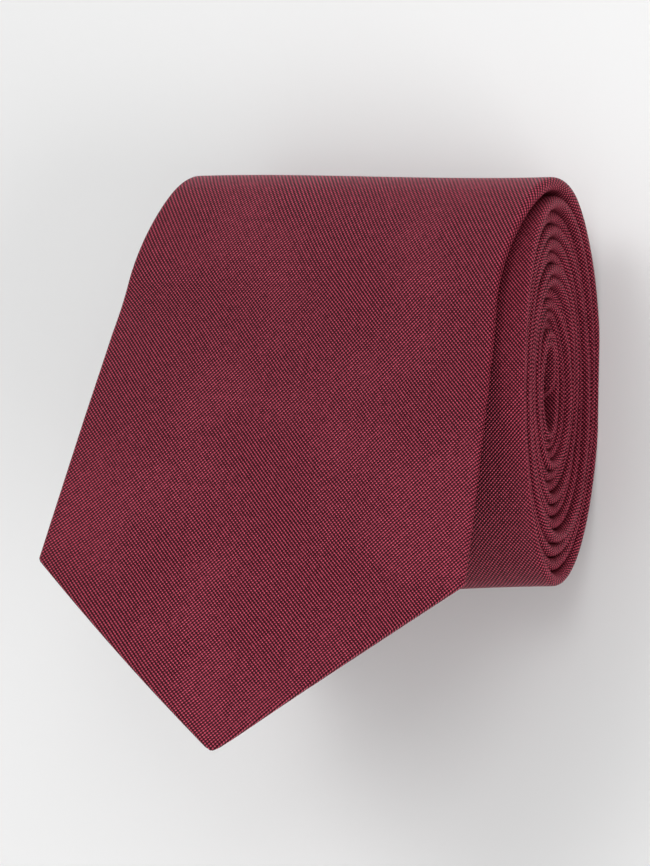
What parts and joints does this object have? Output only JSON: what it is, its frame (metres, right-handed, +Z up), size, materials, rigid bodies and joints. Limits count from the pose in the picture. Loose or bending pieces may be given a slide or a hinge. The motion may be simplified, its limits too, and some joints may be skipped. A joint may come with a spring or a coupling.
{
  "type": "necktie",
  "caption": "Silk necktie rolled flat, wide pointed blade springing free over a flattened coil of turns.",
  "frame": {"origin": "centre of the pressed flat under the roll, on the surface that it rests on, in the middle of the blade's width where it leaves the roll", "axes": "+X along the axis of the roll towards its flush open end; +Y towards the far fold, so the blade's tip is at -Y; +Z up"},
  "size_m": [0.08, 0.1011, 0.0534],
  "materials": {
    "silk": "satin twill",
    "lining": "smooth lining",
    "interlining": "brushed wool",
    "thread": "sewing thread",
    "label": "damask label",
    "care": "satin tape"
  },
  "bodies": {
    "roll": {"blade_silk_wrap": "silk", "neck_silk": "silk", "tail_silk": "silk", "interlining_wrap": "interlining", "tail_tipping": "lining", "keeper_loop": "silk", "keeper_loop_tacks": "thread", "maker_label": "label", "maker_label_stitches": "thread", "care_label": "care", "slip_stitch": "thread", "tail_bar_tack": "thread", "blade_neck_seam": "thread", "neck_tail_seam": "thread"},
    "blade": {"blade_silk_flap": "silk", "interlining_flap": "interlining", "blade_tipping_upper": "lining", "blade_bar_tack": "thread"},
    "blade_tip": {"blade_silk_tip": "silk", "interlining_tip": "interlining", "blade_tipping_tip": "lining"}
  },
  "joints": [
    {"name": "blade_lift", "type": "hinge", "parent": "roll", "child": "blade", "pos_m": [0, 0.01881, 0.02949], "axis": [-1, 0, 0], "range_deg": [-4, 110], "stiffness_Nm_per_rad": 0.03, "springref_deg": 0.65},
    {"name": "tip_curl", "type": "hinge", "parent": "blade", "child": "blade_tip", "pos_m": [-0.00143, -0.0178, 0.03957], "axis": [-0.9927, 0.0764, 0.0928], "range_deg": [-20, 75], "stiffness_Nm_per_rad": 0.01, "springref_deg": 0.42}
  ]
}
